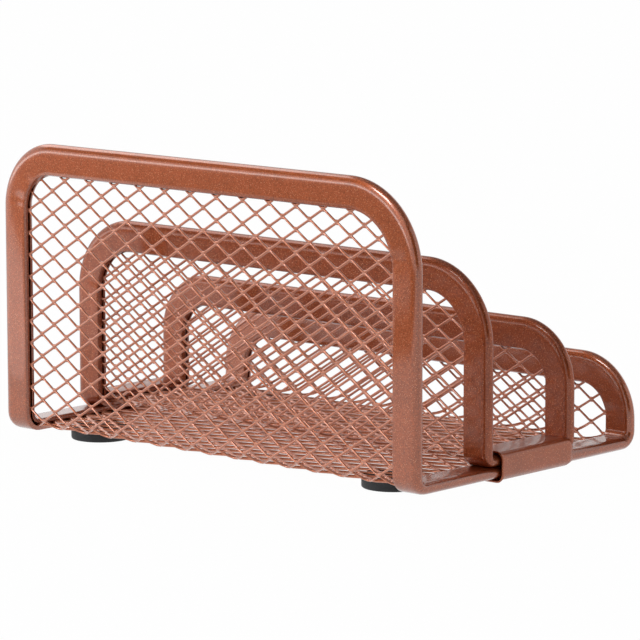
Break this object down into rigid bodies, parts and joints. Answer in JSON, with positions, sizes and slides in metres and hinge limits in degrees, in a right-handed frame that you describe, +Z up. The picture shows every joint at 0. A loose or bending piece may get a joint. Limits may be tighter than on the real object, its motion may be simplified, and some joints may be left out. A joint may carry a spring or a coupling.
{
  "type": "letter sorter",
  "caption": "Stepped desk letter sorter of copper-painted expanded mesh: arched panels with bound rims on a mesh floor make upright slots for mail; rubber feet underneath.",
  "frame": {"origin": "on the desk, midway between the outer frame's walls and sides", "axes": "+X across the panels, +Y from the lowest front panel to the tallest back panel, +Z up"},
  "size_m": [0.1814, 0.1102, 0.0995],
  "materials": {
    "rim_paint": "satin metallic copper paint on folded steel strip",
    "mesh_paint": "satin metallic copper paint on expanded steel mesh",
    "clip_paint": "satin metallic copper paint on thin sheet steel",
    "rubber": "matt black rubber"
  },
  "bodies": {
    "root": {"outer_rim": "rim_paint", "inner_rim": "rim_paint", "back_wall_mesh": "mesh_paint", "floor_mesh": "mesh_paint", "front_wall_mesh": "mesh_paint", "second_wall_mesh": "mesh_paint", "inner_floor_mesh": "mesh_paint", "third_wall_mesh": "mesh_paint", "left_clip": "clip_paint", "right_clip": "clip_paint", "back_left_foot": "rubber", "back_right_foot": "rubber", "front_left_foot": "rubber", "front_right_foot": "rubber"}
  },
  "joints": []
}
